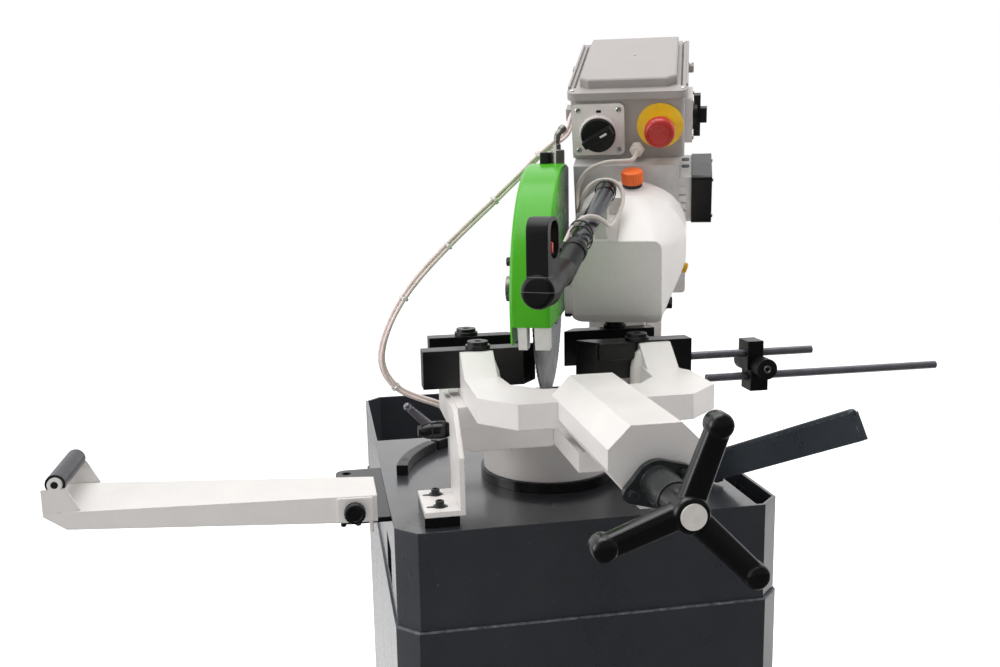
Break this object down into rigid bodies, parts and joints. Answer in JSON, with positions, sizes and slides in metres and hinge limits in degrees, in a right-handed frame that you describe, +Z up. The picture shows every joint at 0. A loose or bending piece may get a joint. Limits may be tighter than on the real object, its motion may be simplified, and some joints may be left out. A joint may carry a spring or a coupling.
{
  "type": "metal cut-off saw",
  "caption": "Circular metal cut-off saw on a sheet-metal stand: swivelling, tilting motor head with a guarded blade, screw vice, length stop and roller support.",
  "frame": {"origin": "on the floor under the middle of the stand", "axes": "+X to the operator's right, +Y away from the operator, +Z up"},
  "size_m": [1.11, 1.0038, 1.3775],
  "materials": {
    "stand_paint": "semi-gloss",
    "casting_paint": "semi-gloss",
    "black_steel": "black oxide, satin",
    "bright_steel": "ground, satin",
    "blade_steel": "ground, satin",
    "ring_paint": "satin black",
    "guard_paint": "gloss",
    "enclosure_paint": "semi-gloss",
    "switch_plastic": "satin",
    "black_plastic": "satin",
    "black_gloss": "gloss",
    "pale_plastic": "gloss",
    "white_plastic": "satin",
    "yellow_plastic": "gloss",
    "red_plastic": "gloss",
    "orange_plastic": "gloss",
    "motor_paint": "semi-gloss",
    "tube_steel": "dull",
    "roller_steel": "satin",
    "cable_sheath": "matt"
  },
  "bodies": {
    "stand": {"stand_cabinet": "stand_paint", "stand_pan": "stand_paint", "turret_ring": "ring_paint", "centre_post": "bright_steel", "vice_base": "casting_paint", "base_bracket": "black_steel", "bracket_spacer": "bright_steel", "stop_arc": "casting_paint", "fixed_jaw_left": "black_steel", "fixed_jaw_right": "black_steel", "fixed_jaw_bolt_left": "black_steel", "fixed_jaw_bolt_right": "black_steel", "support_bracket": "casting_paint"},
    "turret": {"turret_barrel": "casting_paint", "hinge_pin": "bright_steel"},
    "head": {"gearbox": "casting_paint", "motor": "motor_paint", "terminal_box": "switch_plastic", "box_bracket": "enclosure_paint", "control_box": "enclosure_paint", "control_lid": "enclosure_paint", "switch_plate": "switch_plastic", "estop_disc": "yellow_plastic", "control_gland": "black_plastic", "isolator_base": "switch_plastic", "blade_guard": "guard_paint", "guard_fork": "white_plastic", "coolant_block": "black_plastic", "handle_tube": "tube_steel", "handle_grip": "black_plastic", "handle_cable": "cable_sheath", "cable_bundle": "cable_sheath"},
    "saw_blade": {"blade": "blade_steel", "blade_spindle": "bright_steel", "blade_flange": "bright_steel"},
    "trigger": {"trigger": "red_plastic"},
    "selector": {"selector_knob": "black_plastic"},
    "isolator": {"isolator_handle": "black_plastic"},
    "stop_button": {"estop_button": "red_plastic"},
    "tap": {"coolant_tap": "black_plastic"},
    "filler_cap": {"oil_cap": "orange_plastic"},
    "vice": {"vice_slide": "casting_paint", "moving_jaw_left": "black_steel", "moving_jaw_right": "black_steel", "moving_jaw_bolt_left": "black_steel", "moving_jaw_bolt_right": "black_steel", "spindle_flange": "black_steel", "stop_rod_upper": "black_steel"},
    "vice_wheel": {"handwheel": "black_gloss", "handwheel_cap": "pale_plastic", "vice_screw": "bright_steel"},
    "length_stop": {"stop_block": "black_steel"},
    "stop_rod": {"stop_rod_lower": "black_steel"},
    "front_stop_knob": {"stop_knob_front": "black_plastic"},
    "back_stop_knob": {"stop_knob_back": "black_plastic"},
    "vice_lock": {"vice_lock_lever": "black_plastic"},
    "turret_lock": {"turret_lock_lever": "black_steel"},
    "work_support": {"support_arm": "casting_paint"},
    "roller": {"support_roller": "roller_steel"},
    "support_clamp": {"support_knob": "black_plastic"}
  },
  "joints": [
    {"name": "turret_swivel", "type": "hinge", "parent": "stand", "child": "turret", "pos_m": [-0.015, -0.149, 0.8], "axis": [0, 0, 1], "range_deg": [-2, 44]},
    {"name": "head_tilt", "type": "hinge", "parent": "turret", "child": "head", "pos_m": [0.13797, 0.00115, 0.965], "axis": [-0.9336, 0.3584, 0], "range_deg": [0, 40], "deforming": ["cable_bundle"]},
    {"name": "blade_spin", "type": "hinge", "parent": "head", "child": "saw_blade", "pos_m": [-0.00819, -0.13126, 1.04], "axis": [0.9336, -0.3584, 0], "continuous": true},
    {"name": "trigger_pull", "type": "slide", "parent": "head", "child": "trigger", "axis": [-0.5155, -0.8569, 0], "range_m": [0, 0.004], "stiffness_N_per_m": 1200, "springref_m": -0.002},
    {"name": "selector_turn", "type": "hinge", "parent": "head", "child": "selector", "pos_m": [0.07261, -0.084, 1.23687], "axis": [0.3368, 0.8773, 0.342], "range_deg": [-30, 60]},
    {"name": "isolator_turn", "type": "hinge", "parent": "head", "child": "isolator", "pos_m": [0.20735, -0.07204, 1.26063], "axis": [0.9336, -0.3584, 0], "range_deg": [0, 90]},
    {"name": "stop_button_push", "type": "slide", "parent": "head", "child": "stop_button", "axis": [0.3368, 0.8773, 0.342], "range_m": [0, 0.006]},
    {"name": "coolant_tap_turn", "type": "hinge", "parent": "head", "child": "tap", "pos_m": [0.00348, -0.13574, 1.226], "axis": [0, 0, 1], "range_deg": [0, 90]},
    {"name": "filler_cap_turn", "type": "hinge", "parent": "head", "child": "filler_cap", "pos_m": [0.10543, -0.12715, 1.16902], "axis": [-0.1226, -0.3193, 0.9397], "range_deg": [0, 180]},
    {"name": "vice_travel", "type": "slide", "parent": "stand", "child": "vice", "axis": [0, 1, 0], "range_m": [-0.008, 0.06]},
    {"name": "vice_wheel_turn", "type": "hinge", "parent": "vice", "child": "vice_wheel", "pos_m": [-0.015, -0.5, 0.924], "axis": [0, 1, 0], "continuous": true},
    {"name": "length_stop_slide", "type": "slide", "parent": "vice", "child": "length_stop", "axis": [1, 0, 0], "range_m": [-0.045, 0.05]},
    {"name": "stop_rod_slide", "type": "slide", "parent": "length_stop", "child": "stop_rod", "axis": [1, 0, 0], "range_m": [0, 0.05]},
    {"name": "front_stop_knob_turn", "type": "hinge", "parent": "length_stop", "child": "front_stop_knob", "pos_m": [0.2435, -0.223, 0.943], "axis": [0, 1, 0], "range_deg": [0, 90]},
    {"name": "back_stop_knob_turn", "type": "hinge", "parent": "length_stop", "child": "back_stop_knob", "pos_m": [0.2435, -0.195, 0.943], "axis": [0, 1, 0], "range_deg": [0, 90]},
    {"name": "vice_lock_turn", "type": "hinge", "parent": "stand", "child": "vice_lock", "pos_m": [-0.15, -0.225, 0.888], "axis": [1, 0, 0], "range_deg": [-40, 20]},
    {"name": "turret_lock_turn", "type": "hinge", "parent": "stand", "child": "turret_lock", "pos_m": [0.165, -0.218, 0.8], "axis": [0, 0, 1], "range_deg": [-15, 15]},
    {"name": "work_support_slide", "type": "slide", "parent": "stand", "child": "work_support", "axis": [-1, 0, 0], "range_m": [0, 0.04]},
    {"name": "roller_spin", "type": "hinge", "parent": "work_support", "child": "roller", "pos_m": [-0.597, -0.2, 0.862], "axis": [0, 1, 0], "continuous": true},
    {"name": "support_clamp_turn", "type": "hinge", "parent": "work_support", "child": "support_clamp", "pos_m": [-0.272, -0.278, 0.813], "axis": [0, 1, 0], "range_deg": [0, 90]}
  ],
  "couplings": [
    {"joint": "vice_wheel_turn", "follows": "vice_travel", "rad_per_m": 1570.8}
  ]
}
